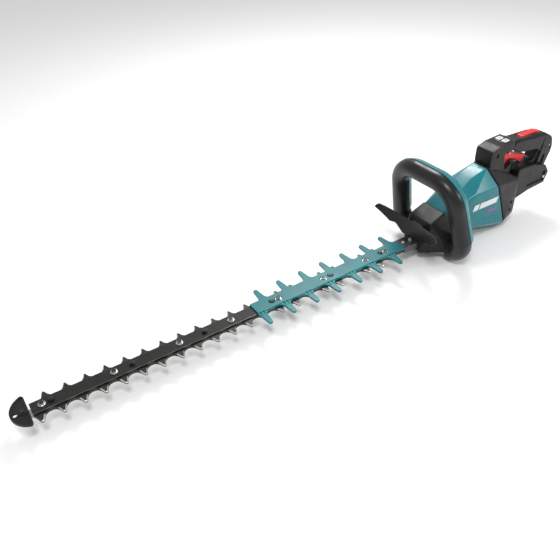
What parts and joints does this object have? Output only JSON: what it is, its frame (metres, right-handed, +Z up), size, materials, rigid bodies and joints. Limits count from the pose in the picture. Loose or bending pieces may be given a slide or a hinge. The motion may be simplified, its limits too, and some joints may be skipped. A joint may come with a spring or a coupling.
{
  "type": "hedge trimmer",
  "caption": "Cordless hedge trimmer: double-sided reciprocating shear blades, blunt-toothed blade cover, loop front handle, trigger handle and rear battery bay.",
  "frame": {"origin": "Centre of the flat boss under the crank axis, on the plane that the tool rests on", "axes": "+X from the blade tip to the rear handle, the longest extent; +Z up; the tool is symmetrical about the XZ plane"},
  "size_m": [1.2029, 0.2126, 0.2044],
  "materials": {
    "teal_shell": "satin",
    "black_shell": "matte",
    "grip_rubber": "satin",
    "control_plastic": "satin",
    "gasket_rubber": "matte",
    "lens": "gloss",
    "red_control": "satin",
    "blade_steel": "ground",
    "dark_steel": "black oxide",
    "zinc_steel": "zinc plated",
    "cast_alloy": "cast",
    "motor_iron": "laminated",
    "circuit_board": "satin"
  },
  "bodies": {
    "frame": {"guide_bar": "dark_steel", "blade_cover": "teal_shell", "tip_bracket": "zinc_steel", "tip_guard": "black_shell", "guard_rivet": "dark_steel", "blade_bolts": "dark_steel", "lock_nuts": "zinc_steel", "guide_nuts": "dark_steel", "bolt_sleeves": "zinc_steel", "blade_holder": "dark_steel", "holder_screws": "zinc_steel", "gear_case_lower": "cast_alloy", "gear_case_upper": "cast_alloy", "front_housing": "black_shell", "hand_guard": "black_shell", "front_screws": "zinc_steel", "crank_bearings": "zinc_steel", "motor_bearings": "zinc_steel", "stator": "motor_iron", "motor_bracket": "cast_alloy", "motor_housing_left": "teal_shell", "motor_housing_right": "teal_shell", "seam_gasket": "gasket_rubber", "front_grip": "grip_rubber", "handle_backing": "teal_shell", "handle_screws": "zinc_steel", "controller": "circuit_board", "rear_housing_left": "black_shell", "rear_housing_right": "black_shell", "housing_screws": "zinc_steel", "control_panel": "control_plastic", "indicator_lens": "lens", "trigger_pin": "zinc_steel", "trigger_spring": "zinc_steel", "lever_pin": "zinc_steel", "lever_spring": "zinc_steel", "switch": "black_shell", "battery_rails": "zinc_steel", "battery_terminal": "black_shell", "motor_wires": "red_control"},
    "upper_blade": {"upper_shear_blade": "blade_steel", "upper_drive_pin": "zinc_steel"},
    "lower_blade": {"lower_shear_blade": "blade_steel", "lower_drive_pin": "zinc_steel"},
    "crank": {"crank_shaft": "dark_steel", "crank_gear": "dark_steel"},
    "upper_rod": {"upper_connecting_rod": "dark_steel"},
    "lower_rod": {"lower_connecting_rod": "dark_steel"},
    "motor_rotor": {"pinion": "dark_steel", "motor_shaft": "zinc_steel", "rotor": "motor_iron", "fan": "black_shell"},
    "trigger": {"trigger": "red_control"},
    "lock_lever": {"lock_lever": "red_control"},
    "power_button": {"power_button": "control_plastic"},
    "reverse_button": {"reverse_button": "control_plastic"}
  },
  "joints": [
    {"name": "upper_blade_slide", "type": "slide", "parent": "frame", "child": "upper_blade", "axis": [1, 0, 0], "range_m": [-0.0084, 0.0084]},
    {"name": "lower_blade_slide", "type": "slide", "parent": "frame", "child": "lower_blade", "axis": [1, 0, 0], "range_m": [-0.0084, 0.0084]},
    {"name": "crank_turn", "type": "hinge", "parent": "frame", "child": "crank", "pos_m": [0, 0, 0.03], "axis": [0, 0, 1], "continuous": true},
    {"name": "upper_rod_turn", "type": "hinge", "parent": "crank", "child": "upper_rod", "pos_m": [0, 0.0084, 0.042], "axis": [0, 0, 1], "continuous": true},
    {"name": "lower_rod_turn", "type": "hinge", "parent": "crank", "child": "lower_rod", "pos_m": [0, -0.0084, 0.028], "axis": [0, 0, 1], "continuous": true},
    {"name": "motor_turn", "type": "hinge", "parent": "frame", "child": "motor_rotor", "pos_m": [0.04575, 0, 0.08], "axis": [0, 0, 1], "continuous": true},
    {"name": "trigger_pull", "type": "hinge", "parent": "frame", "child": "trigger", "pos_m": [0.177, 0, 0.168], "axis": [0, -1, 0], "range_deg": [0, 9], "stiffness_Nm_per_rad": 0.9, "springref_deg": -8.59, "deforming": ["trigger_spring"]},
    {"name": "lock_lever_press", "type": "hinge", "parent": "frame", "child": "lock_lever", "pos_m": [0.272, 0, 0.177], "axis": [0, -1, 0], "range_deg": [0, 7], "stiffness_Nm_per_rad": 0.9, "springref_deg": -8.59, "deforming": ["lever_spring"]},
    {"name": "power_button_press", "type": "slide", "parent": "frame", "child": "power_button", "axis": [0.0454, 0, -0.999], "range_m": [0, 0.001], "stiffness_N_per_m": 300, "springref_m": -0.001},
    {"name": "reverse_button_press", "type": "slide", "parent": "frame", "child": "reverse_button", "axis": [0.0454, 0, -0.999], "range_m": [0, 0.001], "stiffness_N_per_m": 300, "springref_m": -0.001}
  ],
  "couplings": [
    {"joint": "lower_blade_slide", "follows": "upper_blade_slide", "ratio": -1},
    {"joint": "upper_rod_turn", "follows": "crank_turn", "ratio": -1},
    {"joint": "lower_rod_turn", "follows": "crank_turn", "ratio": -1},
    {"joint": "motor_turn", "follows": "crank_turn", "ratio": -4.5455}
  ]
}
